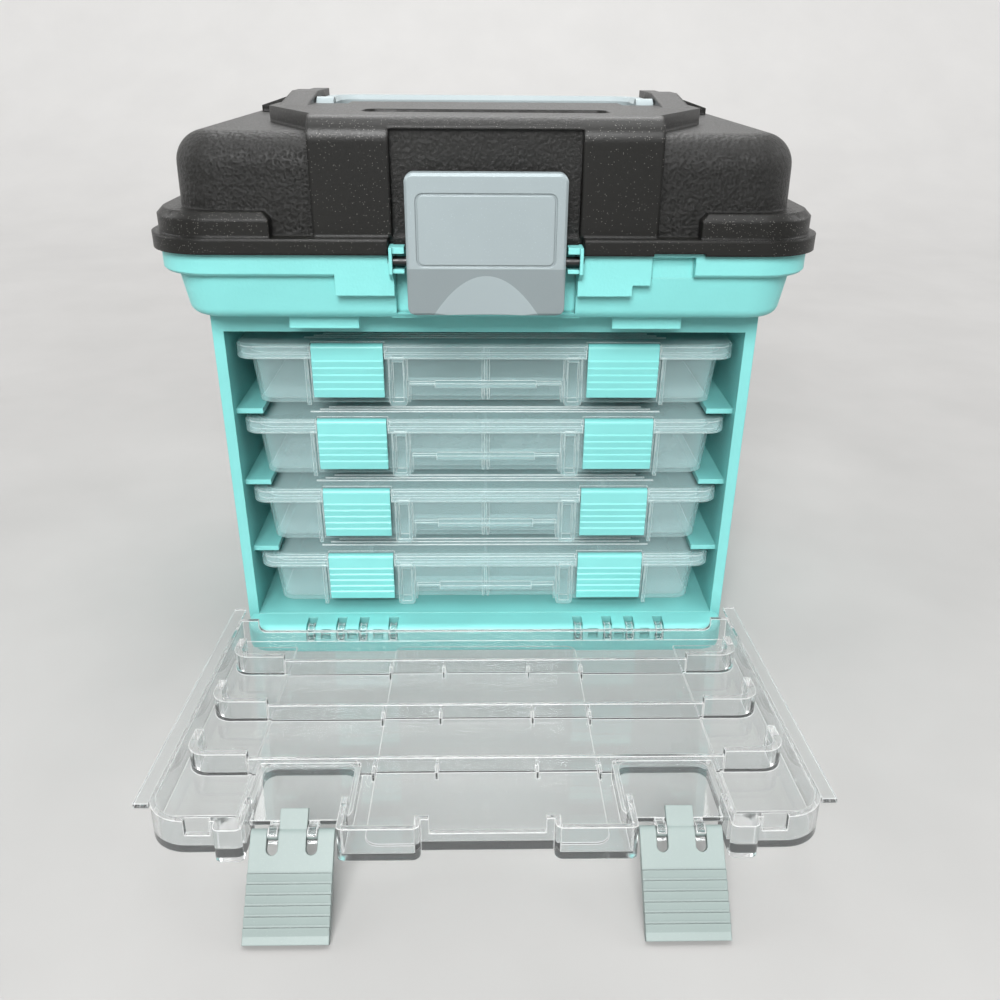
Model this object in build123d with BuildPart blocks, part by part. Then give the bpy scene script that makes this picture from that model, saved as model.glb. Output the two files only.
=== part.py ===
"""Craft storage rack: a carry case with a lidded top tub and four utility boxes behind a drop-down clear door.

Millimetres. X to the right, Y to the back, Z up. The origin is the centre of the base's underside.
The door is modelled lying open, propped on its two latches, and everything else is shut.
"""

import os
from math import asin, atan2, cos, hypot, radians, sin, tan

from build123d import *

# Rack case
case_half = 120.0
flange_half = 122.5
flange_depth = 5.0
inner_half = 117.5
front_y = -64.0
back_y = 78.0
case_wall = 2.5
case_corner = 9.0
base_top = 15.7
lintel_z = 165.2
case_top = 176.5
lip_depth = 13.6
lip_drop = 0.3
lip_corner = 12.0
lip_window = 5.0
rail_width = 12.5
rail_thick = 2.5
base_rib = 2.4

# Utility boxes, one above the other
box_count = 4
slot_pitch = 37.0
slide_gap = 0.2
box_half = 116.0
box_depth = 127.0
box_setback = 6.3
box_height = 31.0
box_corner = 8.0
box_wall = 1.6
rim_drop = 7.0
rim_wall = 1.5
rim_gap = 0.3
ridge_height = 0.5
ridge_width = 0.9
draft_inset = 7.0
box_draft = 5.8
divider_spacing = 60.0
divider_thick = 1.2
guide_thick = 1.0
guide_reach = 2.5
fit_gap = 0.15
finger_bay_half = 36.0
finger_bay_height = 9.0
finger_bay_depth = 3.5
grip_half = 24.0
grip_thick = 2.2
leg_x = 41.25
leg_width = 8.5
leg_round = 2.0
leg_wall = 1.75
outer_post_x = 83.4
outer_post_thick = 1.8
centre_guide_extra = 4.3
lid_ridge_half = 85.0
lid_ridge_shorter = 4.0
lid_ridge_inset = 11.0
lid_ridge_pitch = 3.2

# Utility-box latches
box_latch_x = 64.0
box_latch_width = 33.0
box_latch_bar = 1.2
box_latch_barrel = 2.2
box_latch_length = 25.5
box_latch_thick = 1.6
latch_ridges = 5
ridge_pitch = 3.4
ridge_step = 0.5
pin_gap = 0.07
side_gap = 0.5

# Top tub
tub_foot_half = 127.5
tub_foot_front = -84.0
tub_foot_back = 82.0
tub_draft = 10.3
tub_corner = 16.0
tub_wall = 2.5
tub_foot_round = 5.0
tub_top = 206.0
band_z = 195.8
band_half = 137.0
band_front = -91.0
band_back = 89.0
band_corner = 24.0
band_bevel = 1.0
band_drop_z = 188.0
band_drop_left = 62.0
band_drop_right = 60.3
hasp_left = 67.8
hasp_right = 85.7
hasp_step_z = 192.5
latch_bay_half = 37.7
latch_bay_y = -81.0
ear_width = 1.3
ear_high = 208.5
ear_bars = ((198.2, 199.8), (206.0, 208.5))

# Main latch
latch_half = 31.9
latch_low = 181.3
latch_high = 237.0
latch_face_y = -98.0
latch_depth = 6.5
latch_wall = 2.2
latch_corner = 3.5
latch_slope_z = 200.5
latch_slope = 1.2
latch_panel_half = 27.8
latch_panel_z = (201.2, 229.6)
latch_groove = 0.5
thumb_radius = 116.0
thumb_height = 16.5
thumb_depth = 2.0
latch_pin_y = -92.5
latch_pin_z = 202.5
latch_pin_r = 2.0

# Lid
lid_rim_half = 139.7
lid_rim_front = -94.0
lid_rim_back = 92.0
lid_rim_top = 211.3
lid_rim_corner = 26.0
lid_skirt_drop = 1.0
lid_body_half = 127.0
lid_body_front = -86.0
lid_body_back = 85.0
lid_top = 250.0
lid_shoulder = 13.0
lid_hollow_bevel = 8.0
lid_wall = 2.5
lid_draft = 1.1
bump_half = 136.4
bump_top = 221.0
bump_inner = 86.5
bump_front = -92.5
bump_back = 90.5
strap_inner = 38.0
strap_outer = 69.5
strap_proud = 3.0
deck_top = 256.5
deck_half = 95.6
deck_nose_y = -76.0
deck_wing = (-26.0, 34.0)
deck_waist = (84.0, 37.5)
deck_tail_y = 84.0
deck_round = 9.0
ear_inner = 79.5
ear_outer = 92.0
ear_top = 261.0
ear_ends = (-26.0, 38.0)
ear_crest = (12.0, 30.0)
wedge_x = (83.0, 91.0, 113.0)
wedge_y = (40.0, 70.0)
wedge_z = (260.0, 253.0)
dish_drop = 1.0
dish_front = 10.0
dish_back = 49.0
dish_keep_half = 63.5
scoop_half = 42.0
scoop_depth = 14.0
groove_half = 51.0
groove_y = (-64.0, -44.0)
groove_depth = 1.5
latch_notch_gap = 0.4
lid_ridge_half_width = 26.0

# Carry handle
handle_pivot_y = 4.0
handle_pivot_z = 254.3
handle_reach = 35.0
handle_bar = 8.0
handle_peg_r = 3.0
handle_eye_r = 4.6

# Lid hinge
hinge_x = 68.0
hinge_y = 95.0
hinge_z = 206.6
hinge_pin_r = 1.6
hinge_barrel = 3.4
hinge_knuckle = 24.0
hinge_lug = 8.0

# Clear front door, in its own plane: s runs away from the hinge axis, h is the inward normal
door_open = 85.0
door_pin_back = 9.5
door_pin_drop = 3.9
door_half = 124.0
door_top_s = 153.5
door_bump_s = 158.5
door_root_s = 4.9
door_skin_h = -4.7
door_rim_h = 9.1
door_wall = 2.2
door_skin = 2.0
door_corner = 16.0
door_low_h = 2.6
door_rib_height = 8.0
door_rib_thick = 1.8
door_rib_drop = 2.7
door_flange_half = 129.0
door_flange_thick = 2.0
door_flange_bite = 0.7
door_flange_s = (-6.0, 144.0)
door_inner_bump = (24.0, 54.0)
door_outer_bump = (86.0, 97.0)
door_panel_half = 44.5
door_strip_x = 94.0
door_panel_step = 0.8
door_gusset_x = (20.0, 45.0)
door_front_low_h = 2.8
door_pin_r = 2.0
knuckle_r = 3.7
knuckle_width = 3.0
knuckle_offsets = (-20.8, -5.7, 5.7, 20.8)
knuckle_group_x = 68.0
knuckle_slot = 4.8

# Door latches
door_latch_x = 70.0
door_latch_s = 150.6
door_latch_h = 0.4
door_latch_width = 30.0
door_latch_length = 36.0
door_latch_inner = 0.5
door_latch_outer = 2.2
door_latch_bar = 1.8
door_latch_slot = 4.2
door_latch_slot_x = 7.05
tab_width = 10.0
tab_length = 9.0
tab_inner = 0.7
tab_outer = 1.3
notch_half = 16.5
recess_half = 18.0
recess_start = 112.0
notch_start = 146.5
recess_floor_h = 1.3
catch_overlap = 0.8
catch_gap = 0.4
catch_thick = 1.8

os.makedirs("parts", exist_ok=True)


def save(name, solid):
    """Label a finished piece and write it under its own name."""
    solid.label = name
    export_step(solid, f"parts/{name}.step")


def footprint(x0, x1, y0, y1, z, radius=0.0, plane=Plane.XY):
    """A rectangle seen from above the plane, with rounded corners, z above it."""
    with BuildSketch(plane.offset(z)) as outline:
        with Locations(((x0 + x1) / 2, (y0 + y1) / 2)):
            if radius:
                RectangleRounded(x1 - x0, y1 - y0, radius)
            else:
                Rectangle(x1 - x0, y1 - y0)
    return outline.sketch


def side_profile(points, x):
    """A closed outline in the YZ plane, at x."""
    with BuildSketch(Plane.YZ.offset(x)) as outline:
        with BuildLine():
            Polyline(*points, close=True)
        make_face()
    return outline.sketch


def disc(x, y, z, radius):
    """A round section across the X axis, at x."""
    with BuildSketch(Plane.YZ.offset(x)) as outline:
        with Locations((y, z)):
            Circle(radius)
    return outline.sketch


# Places shared by the pieces
lip_front = front_y - lip_depth
lip_top = base_top - lip_drop
door_axis_y = front_y - door_pin_back
door_axis_z = lip_top - door_pin_drop
case_mid_y = (front_y + back_y) / 2
box_front = front_y + box_setback
box_back = box_front + box_depth
box_floor = base_top + slide_gap

# Rack case: an open-fronted housing with side rails and a hinge lip along its foot
with BuildPart() as rack_case:
    with BuildSketch(Plane.XY) as case_outline:
        with Locations((0, case_mid_y)):
            Rectangle(2 * case_half, back_y - front_y)
        fillet(case_outline.vertices().group_by(Axis.Y)[-1], case_corner)
    extrude(amount=case_top)
    flange = footprint(-flange_half, flange_half, front_y, front_y + flange_depth, 0)
    extrude(flange, amount=case_top)
    with BuildSketch(Plane.XY) as lip_outline:
        with Locations((0, (lip_front + front_y + flange_depth) / 2)):
            Rectangle(2 * flange_half, front_y + flange_depth - lip_front)
        fillet(lip_outline.vertices().group_by(Axis.Y)[0], lip_corner)
    extrude(amount=lip_top)
    lip_edges = rack_case.edges().filter_by_position(Axis.Z, lip_top - 0.1, lip_top + 0.1)
    fillet(lip_edges.filter_by_position(Axis.Y, lip_front - 1, front_y - 1).filter_by(Axis.X), door_pin_drop - 0.1)
    # box space, stepped up behind the lintel
    mouth = footprint(-inner_half, inner_half, front_y - 1, back_y - case_wall, base_top)
    extrude(mouth, amount=lintel_z - base_top, mode=Mode.SUBTRACT)
    loft_space = footprint(
        -inner_half, inner_half, front_y + flange_depth, back_y - case_wall, lintel_z
    )
    extrude(loft_space, amount=case_top - case_wall - lintel_z, mode=Mode.SUBTRACT)
    # rails under the upper boxes
    for level in range(1, box_count):
        rail_z = base_top + level * slot_pitch - rail_thick
        for side in (-1, 1):
            rail_x = sorted((side * inner_half, side * (inner_half - rail_width)))
            rail = footprint(*rail_x, front_y + flange_depth, back_y - case_wall, rail_z)
            extrude(rail, amount=rail_thick)
    # hollow underside, crossed by stiffening ribs
    hollow = footprint(
        -case_half + case_wall, case_half - case_wall, front_y + flange_depth, back_y - case_wall, 0,
        case_corner - case_wall,
    )
    extrude(hollow, amount=base_top - case_wall, mode=Mode.SUBTRACT)
    with BuildSketch(Plane.XY):
        with Locations((0, case_mid_y)):
            with GridLocations(case_half / 2, 0, 3, 1):
                Rectangle(base_rib, back_y - front_y - flange_depth)
        Rectangle(2 * case_half - case_wall, base_rib)
    extrude(amount=base_top - case_wall / 2)
    # hinge slots and see-through windows in the lip, then the pin that crosses them
    for group in (-knuckle_group_x, knuckle_group_x):
        for offset in knuckle_offsets:
            slot = footprint(
                group + offset - knuckle_slot / 2, group + offset + knuckle_slot / 2,
                lip_front - 1, door_axis_y + door_pin_back / 2 + 1, door_axis_z - knuckle_r - 1.5,
            )
            extrude(slot, amount=lip_top, mode=Mode.SUBTRACT)
        for left, right in zip(knuckle_offsets, knuckle_offsets[1:]):
            with BuildSketch(Plane.XZ.offset(1 - lip_front)):
                with Locations((group + (left + right) / 2, door_axis_z)):
                    Rectangle(knuckle_slot, lip_window)
            extrude(amount=-(door_axis_y - lip_front + door_pin_back / 2 + 2), mode=Mode.SUBTRACT)
        pin_half = knuckle_offsets[-1] + knuckle_slot / 2 + 0.5
        extrude(disc(group - pin_half, door_axis_y, door_axis_z, door_pin_r), amount=2 * pin_half)

save("rack_case", rack_case.part)


def tapered(x_half, y0, y1, z0, z1, radius, angle):
    """A block that widens upward from its foot by the draft angle."""
    foot = footprint(-x_half, x_half, y0, y1, z0, radius)
    return extrude(foot, amount=z1 - z0, taper=-angle, mode=Mode.PRIVATE)


# Utility box in the lowest slot: tray, lid, dividers and one pair of latches
spread = tan(radians(box_draft))
box_top = box_floor + box_height
lid_plane = box_top - ridge_height - box_wall
lid_skirt_z = box_top - ridge_height - rim_drop
tray_top = lid_plane
tray_half = box_half - draft_inset
tray_front = box_front + draft_inset
tray_back = box_back - draft_inset
bar_y = box_front + box_latch_barrel - 0.4
bar_z = box_top - ridge_height - box_latch_barrel
divider_places = [divider_spacing * (i - 1) for i in range(3)]
post_y = box_front + rim_wall
latch_bay = box_latch_width / 2 + side_gap

with BuildPart() as box_tray:
    add(tapered(tray_half, tray_front, tray_back, box_floor, tray_top, box_corner, box_draft))
    # flange that seats inside the lid's skirt
    seat = rim_wall + rim_gap
    flange_z = lid_skirt_z + rim_gap
    outer = footprint(
        -box_half + seat, box_half - seat, box_front + seat, box_back - seat, flange_z, box_corner - rim_wall
    )
    extrude(outer, amount=box_wall)
    # inside of the tray
    add(
        tapered(
            tray_half - box_wall, tray_front + box_wall, tray_back - box_wall,
            box_floor + box_wall, tray_top + 1, box_corner - box_wall, box_draft,
        ),
        mode=Mode.SUBTRACT,
    )
    # finger bay between the latches, set back below a grip bar
    bay_top = box_floor + finger_bay_height
    bay_back = tray_front + finger_bay_depth
    bay = footprint(-finger_bay_half, finger_bay_half, tray_front - 6, bay_back, box_floor - 1)
    extrude(bay, amount=finger_bay_height + 1, mode=Mode.SUBTRACT)
    wall_half = finger_bay_half + box_wall
    wall = footprint(-wall_half, wall_half, bay_back, bay_back + box_wall, box_floor)
    extrude(wall, amount=finger_bay_height + box_wall)
    for side in (-1, 1):
        cheek_x = sorted((side * finger_bay_half, side * wall_half))
        cheek = footprint(*cheek_x, tray_front, bay_back, box_floor)
        extrude(cheek, amount=finger_bay_height + box_wall)
    ceiling = footprint(-finger_bay_half, finger_bay_half, tray_front - 0.9, bay_back, bay_top)
    extrude(ceiling, amount=box_wall)
    grip = footprint(-grip_half, grip_half, post_y, tray_front, bay_top)
    extrude(grip, amount=grip_thick)
    thin_grip = footprint(-finger_bay_half, finger_bay_half, post_y + 2, tray_front, bay_top + 0.6)
    extrude(thin_grip, amount=grip_thick - 1.2)
    # posts beside each latch: a hollow leg on the inner side, a thin rib on the outer side
    for side in (-1, 1):
        with BuildSketch(Plane.XZ.offset(-post_y)):
            with Locations((side * leg_x, (box_floor + flange_z) / 2)):
                RectangleRounded(leg_width, flange_z - box_floor, leg_round)
                Rectangle(leg_width - 2 * leg_wall, flange_z - box_floor - 4.5, mode=Mode.SUBTRACT)
        extrude(amount=-(tray_front - post_y + 0.8))
        rib_x = side * outer_post_x - outer_post_thick / 2
        rib = footprint(rib_x, rib_x + outer_post_thick, post_y, tray_front + 0.8, box_floor + 0.6)
        extrude(rib, amount=flange_z - box_floor - 0.6)
        # catch bar under the latch's toe
        catch = footprint(
            side * box_latch_x - latch_bay + 2, side * box_latch_x + latch_bay - 2,
            box_front + box_latch_thick + 0.9, tray_front + 0.8, box_floor + 7.6,
        )
        extrude(catch, amount=1.6)
        # room for the latch barrel above the flange
        clear = footprint(
            side * box_latch_x - latch_bay, side * box_latch_x + latch_bay,
            box_front, tray_front - (tray_top - box_floor) * spread - 0.01, flange_z - 1,
        )
        extrude(clear, amount=rim_drop + 1, mode=Mode.SUBTRACT)
    # guides that hold each divider's ends
    for x in divider_places:
        for side in (-1, 1):
            guide_x = x + side * (divider_thick / 2 + fit_gap + guide_thick / 2)
            for end, wall_y in ((1, tray_front), (-1, tray_back)):
                lean = spread * (tray_top - box_floor - box_wall)
                wall_in = wall_y + end * box_wall * 0.6
                foot_reach = guide_reach + (centre_guide_extra if x == 0 and end == 1 else 0)
                guide = side_profile(
                    [
                        (wall_in + end * foot_reach, box_floor + box_wall * 0.6),
                        (wall_in, box_floor + box_wall * 0.6),
                        (wall_in - end * lean, tray_top - 2),
                        (wall_in - end * lean + end * guide_reach, tray_top - 2),
                    ],
                    guide_x - guide_thick / 2,
                )
                extrude(guide, amount=guide_thick)

with BuildPart() as box_lid:
    rim = footprint(-box_half, box_half, box_front, box_back, lid_skirt_z, box_corner)
    extrude(rim, amount=rim_drop)
    chamfer(box_lid.faces().sort_by(Axis.Z)[-1].edges(), rim_wall - 0.4)
    inside = footprint(
        -box_half + rim_wall, box_half - rim_wall, box_front + rim_wall, box_back - rim_wall,
        lid_skirt_z, box_corner - rim_wall,
    )
    extrude(inside, amount=rim_drop - box_wall, mode=Mode.SUBTRACT)
    # three long ridges near the front edge
    for step in range(3):
        with BuildSketch(Plane.XY.offset(box_top - ridge_height)):
            with Locations((0, box_front + lid_ridge_inset + lid_ridge_pitch * step)):
                Rectangle(2 * (lid_ridge_half - lid_ridge_shorter * step), ridge_width)
        extrude(amount=ridge_height)
    # latch bays, each crossed by a bar
    for side in (-1, 1):
        bay = footprint(
            side * box_latch_x - latch_bay, side * box_latch_x + latch_bay,
            box_front - 1, bar_y + box_latch_barrel + side_gap, lid_skirt_z - 1,
        )
        extrude(bay, amount=rim_drop + 2, mode=Mode.SUBTRACT)
        bar_end = side * box_latch_x - latch_bay - 1
        extrude(disc(bar_end, bar_y, bar_z, box_latch_bar), amount=2 * latch_bay + 2)

with BuildPart() as box_dividers:
    for x in divider_places:
        lean = spread * (tray_top - box_floor - box_wall - 1.5)
        low_front = tray_front + box_wall + fit_gap + (5.1 if x == 0 else 0.1)
        plate = side_profile(
            [
                (low_front, box_floor + box_wall),
                (tray_back - box_wall - fit_gap, box_floor + box_wall),
                (tray_back - box_wall - fit_gap + lean, tray_top - 1.5),
                (tray_front + box_wall + fit_gap - lean, tray_top - 1.5),
                (tray_front + box_wall + fit_gap, box_floor + 13.0),
                (low_front, box_floor + 12.0),
            ],
            x - divider_thick / 2,
        )
        extrude(plate, amount=divider_thick)

with BuildPart() as box_latch:
    # side view: a plate with stepped finger ridges, hung from a barrel
    plate_face = bar_y - box_latch_barrel
    ridge_top = bar_z - box_latch_length + box_latch_barrel + latch_ridges * ridge_pitch + 1.2
    outline = [(plate_face + box_latch_thick, bar_z), (plate_face, bar_z)]
    for ridge in range(latch_ridges):
        z = ridge_top - ridge * ridge_pitch
        outline += [(plate_face, z), (plate_face - ridge_step, z - 0.6)]
    toe_z = bar_z - box_latch_length + box_latch_barrel
    outline += [
        (plate_face, toe_z),
        (plate_face + box_latch_thick + 1.2, toe_z),
        (plate_face + box_latch_thick, toe_z + 1.2),
    ]
    left = box_latch_x - box_latch_width / 2
    extrude(side_profile(outline, left), amount=box_latch_width)
    extrude(disc(left, bar_y, bar_z, box_latch_barrel), amount=box_latch_width)
    extrude(
        disc(left - 1, bar_y, bar_z, box_latch_bar + pin_gap), amount=box_latch_width + 2, mode=Mode.SUBTRACT
    )
    # snap-on gap in the barrel, facing the tray
    gap = footprint(
        left - 1, left + box_latch_width + 1, bar_y, bar_y + 2 * box_latch_barrel, bar_z - box_latch_bar * 0.8
    )
    extrude(gap, amount=1.6 * box_latch_bar, mode=Mode.SUBTRACT)

for level in range(box_count):
    raised = Location((0, 0, level * slot_pitch))
    box_name = f"box_{level + 1}"
    save(f"{box_name}_tray", box_tray.part.moved(raised))
    save(f"{box_name}_lid", box_lid.part.moved(raised))
    save(f"{box_name}_dividers", box_dividers.part.moved(raised))
    save(f"{box_name}_latch_right", box_latch.part.moved(raised))
    to_left = Location((-2 * box_latch_x, 0, level * slot_pitch))
    save(f"{box_name}_latch_left", box_latch.part.moved(to_left))

# Top tub: flared walls under a proud band, with a bay and ears for the main latch
bay_x = (-latch_bay_half, latch_bay_half)
door_catch_z = door_axis_z + door_latch_s + tab_length - catch_overlap
catch_y = door_axis_y + door_latch_h - tab_outer - catch_gap

with BuildPart() as tub_band:
    extrude(footprint(-band_half, band_half, band_front, band_back, band_z, band_corner), amount=tub_top - band_z)
    chamfer(tub_band.faces().sort_by(Axis.Z)[0].edges(), band_bevel)

with BuildPart() as top_tub:
    add(tapered(tub_foot_half, tub_foot_front, tub_foot_back, case_top, band_z, tub_corner, tub_draft))
    fillet(top_tub.faces().sort_by(Axis.Z)[0].edges(), tub_foot_round)
    add(tub_band.part)
    # the band drops lower on each side of the latch bay, in two steps on the right
    for drop_start, drop_end, drop_z in (
        (-band_drop_left, -latch_bay_half, band_drop_z), (latch_bay_half, band_drop_right, band_drop_z),
        (band_drop_right, hasp_left, hasp_step_z),
    ):
        drop = footprint(drop_start, drop_end, band_front, tub_foot_front + 3, drop_z)
        extrude(drop, amount=band_z + 2 - drop_z)
    # inside, stepping out behind the band at the sides and the back
    w = tub_wall
    flare = tan(radians(tub_draft)) * (band_z - case_top)
    add(
        tapered(
            tub_foot_half - w, tub_foot_front + w, tub_foot_back - w, case_top + w, band_z + w,
            tub_corner - w, tub_draft,
        ),
        mode=Mode.SUBTRACT,
    )
    mouth_in = footprint(
        -band_half + w, band_half - w, tub_foot_front + w - flare, band_back - w, band_z + w, band_corner - w
    )
    extrude(mouth_in, amount=tub_top, mode=Mode.SUBTRACT)
    # hasp gap in the right-hand band
    hasp = footprint(hasp_left, hasp_right, band_front - 1, tub_foot_front - flare + 0.4, band_z - 1)
    extrude(hasp, amount=tub_top - 2 - band_z + 1, mode=Mode.SUBTRACT)
    # latch bay, walled off from the inside
    bay_wall = footprint(bay_x[0] - w, bay_x[1] + w, tub_foot_front + 2, latch_bay_y + w, case_top)
    extrude(bay_wall, amount=tub_top - case_top)
    bay_cheek = [
        (tub_foot_front + 1, case_top + w / 2), (tub_foot_front + 1 - flare, band_z),
        (tub_foot_front + 1 - flare, tub_top), (latch_bay_y + w, tub_top), (latch_bay_y + w, case_top + w / 2),
    ]
    for cheek_x in (bay_x[0] - w, bay_x[1]):
        extrude(side_profile(bay_cheek, cheek_x), amount=w)
    bay = footprint(*bay_x, lid_rim_front - 5, latch_bay_y, case_top + w)
    extrude(bay, amount=tub_top, mode=Mode.SUBTRACT)
    # ears that hold the main latch's pin
    for side in (-1, 1):
        ear_x = side * latch_bay_half if side > 0 else side * latch_bay_half - ear_width
        ear = side_profile(
            [
                (tub_foot_front, 190.0), (latch_pin_y - 1, 196.0), (latch_pin_y - 4, 198.0),
                (latch_pin_y - 4, ear_high), (tub_foot_front - flare, ear_high),
            ],
            ear_x,
        )
        extrude(ear, amount=ear_width)
        ear_hole = disc(ear_x - 1, latch_pin_y, latch_pin_z, latch_pin_r)
        extrude(ear_hole, amount=ear_width + 2, mode=Mode.SUBTRACT)
        # short bars that reach from the ear towards the latch, above and below its pin
        bar_x = sorted((side * (latch_half + 1), side * (latch_bay_half + ear_width / 2)))
        for bar_low, bar_high in ear_bars:
            extrude(footprint(*bar_x, latch_pin_y - 3, latch_pin_y + 3.5, bar_low), amount=bar_high - bar_low)
        # lips that the door latches hook behind
        lip_x = side * door_latch_x
        lip = footprint(
            lip_x - door_latch_width / 2, lip_x + door_latch_width / 2,
            catch_y - catch_thick, catch_y, door_catch_z,
        )
        extrude(lip, amount=case_top + w - door_catch_z)
        # lugs of the lid hinge, each side of the lid's knuckle
        for end in (-1, 1):
            lug_middle = side * hinge_x + end * (hinge_knuckle / 2 + side_gap + hinge_lug / 2)
            lug = side_profile(
                [
                    (band_back - 2, band_z + band_bevel), (band_back, band_z + band_bevel),
                    (hinge_y + hinge_barrel, hinge_z - 1.5), (hinge_y + hinge_barrel, hinge_z),
                    (hinge_y, hinge_z), (hinge_y, tub_top), (band_back - 2, tub_top),
                ],
                lug_middle - hinge_lug / 2,
            )
            extrude(lug, amount=hinge_lug)
            extrude(disc(lug_middle - hinge_lug / 2, hinge_y, hinge_z, hinge_barrel), amount=hinge_lug)
            lug_hole = disc(lug_middle - hinge_lug / 2 - 1, hinge_y, hinge_z, hinge_pin_r)
            extrude(lug_hole, amount=hinge_lug + 2, mode=Mode.SUBTRACT)

with BuildPart() as lid_hinge_pins:
    for side in (-1, 1):
        half = hinge_knuckle / 2 + side_gap + hinge_lug
        extrude(disc(side * hinge_x - half, hinge_y, hinge_z, hinge_pin_r), amount=2 * half)

with BuildPart() as main_latch_pin:
    half = latch_bay_half + ear_width
    extrude(disc(-half, latch_pin_y, latch_pin_z, latch_pin_r), amount=2 * half)

# Main latch: a dished plate on the pin, with a hook over the lid's ridge
latch_back_y = latch_face_y + latch_depth
with BuildPart() as main_latch:
    middle_z = (latch_low + latch_high) / 2
    with BuildSketch(Plane.XZ.offset(-latch_back_y)):
        with Locations((0, middle_z)):
            RectangleRounded(2 * latch_half, latch_high - latch_low, latch_corner)
    extrude(amount=latch_depth)
    chamfer(main_latch.faces().sort_by(Axis.Y)[0].edges(), 1.0)
    with BuildSketch(Plane.XZ.offset(-latch_back_y)):
        with Locations((0, middle_z)):
            RectangleRounded(
                2 * (latch_half - latch_wall), latch_high - latch_low - 2 * latch_wall,
                latch_corner - latch_wall / 2,
            )
    extrude(amount=latch_depth - latch_wall, mode=Mode.SUBTRACT)
    # solid toe behind a lower face that slopes back
    toe = side_profile(
        [
            (latch_face_y + 1, latch_low + latch_wall / 2), (latch_back_y - 1, latch_low + latch_wall / 2),
            (latch_back_y - 1, latch_low + latch_wall), (latch_face_y + latch_wall, latch_slope_z + 2),
            (latch_face_y + 1, latch_slope_z + 2),
        ],
        -latch_half + latch_wall / 2,
    )
    extrude(toe, amount=2 * latch_half - latch_wall)
    slope_cut = side_profile(
        [
            (latch_face_y - 1, latch_slope_z), (latch_face_y, latch_slope_z),
            (latch_face_y + latch_slope, latch_low + 1), (latch_face_y + latch_slope + 1, latch_low),
            (latch_face_y + latch_slope + 1, latch_low - 1), (latch_face_y - 1, latch_low - 1),
        ],
        -latch_half - 1,
    )
    extrude(slope_cut, amount=2 * latch_half + 2, mode=Mode.SUBTRACT)
    # thumb dish, a wide round hollow that deepens towards the foot
    dish_z = latch_low + thumb_height
    dish_y = latch_face_y + latch_slope * (latch_slope_z - dish_z) / (latch_slope_z - latch_low)
    lean = atan2(thumb_depth + latch_face_y + latch_slope - dish_y, thumb_height)
    thumb_axis = (0, dish_y - thumb_radius * cos(lean), dish_z - thumb_radius * sin(lean))
    with BuildSketch(Plane(origin=thumb_axis, x_dir=(1, 0, 0), z_dir=(0, -sin(lean), cos(lean)))):
        Circle(thumb_radius)
    extrude(amount=60, both=True, mode=Mode.SUBTRACT)
    # outline of the panel above the dish
    with BuildSketch(Plane.XZ.offset(-latch_face_y + 1)):
        with Locations((0, sum(latch_panel_z) / 2)):
            RectangleRounded(2 * latch_panel_half, latch_panel_z[1] - latch_panel_z[0], 3.0)
            RectangleRounded(
                2 * latch_panel_half - 1.8, latch_panel_z[1] - latch_panel_z[0] - 1.8, 2.1, mode=Mode.SUBTRACT
            )
    extrude(amount=-1 - latch_groove, mode=Mode.SUBTRACT)
    # cheeks that ride on the pin
    for side in (-1, 1):
        cheek_x = side * (latch_half - 6.0) - 3.0
        cheek = side_profile(
            [
                (latch_face_y + latch_wall, latch_pin_z - 9), (latch_pin_y + 3.6, latch_pin_z - 2),
                (latch_pin_y + 3.6, latch_pin_z + 2), (latch_face_y + latch_wall, latch_pin_z + 9),
            ],
            cheek_x,
        )
        extrude(cheek, amount=6.0)
    bore = disc(-latch_half - 1, latch_pin_y, latch_pin_z, latch_pin_r + pin_gap)
    extrude(bore, amount=2 * latch_half + 2, mode=Mode.SUBTRACT)
    # hook, which stops just short of the lid's ridge
    hook = side_profile(
        [
            (latch_face_y + latch_wall, latch_high - 7), (latch_back_y + 0.6, latch_high - 6),
            (latch_back_y + 0.6, latch_high - 4), (latch_face_y + latch_wall, latch_high - 3),
        ],
        -20.0,
    )
    extrude(hook, amount=40.0)

# Lid: a drafted shell with a raised deck, corner skirts, ears and a dish for the handle
with BuildPart() as lid_deck:
    with BuildSketch(Plane.XY.offset(tub_top)):
        with BuildLine():
            Polyline(
                (-strap_outer, lid_body_front - strap_proud), (-strap_outer, deck_nose_y),
                (-deck_half, deck_wing[0]), (-deck_half, deck_wing[1]), (-deck_waist[0], deck_waist[1]),
                (-strap_outer, deck_tail_y), (-strap_outer, lid_body_back + 1),
                (strap_outer, lid_body_back + 1), (strap_outer, deck_tail_y),
                (deck_waist[0], deck_waist[1]), (deck_half, deck_wing[1]), (deck_half, deck_wing[0]),
                (strap_outer, deck_nose_y), (strap_outer, lid_body_front - strap_proud), close=True,
            )
        make_face()
    extrude(amount=deck_top - tub_top)
    with BuildSketch(Plane.YZ) as deck_side:
        with Locations(((lid_body_front + lid_body_back - strap_proud + 1) / 2, (tub_top + deck_top) / 2)):
            Rectangle(lid_body_back + 1 - lid_body_front + strap_proud, deck_top - tub_top)
        fillet(deck_side.vertices().group_by(Axis.Y)[-1], deck_round)
    extrude(amount=deck_half + 1, both=True, mode=Mode.INTERSECT)

with BuildPart() as corner_skirts:
    with BuildSketch(Plane.XY.offset(tub_top)):
        with Locations((0, (bump_front + bump_back) / 2)):
            RectangleRounded(2 * bump_half, bump_back - bump_front, 24)
            Rectangle(2 * bump_inner, 2 * (bump_back - bump_front), mode=Mode.SUBTRACT)
    extrude(amount=bump_top - tub_top)
    chamfer(corner_skirts.faces().filter_by(Axis.Z).group_by(Axis.Z)[-1].edges(), 2.6)

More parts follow.
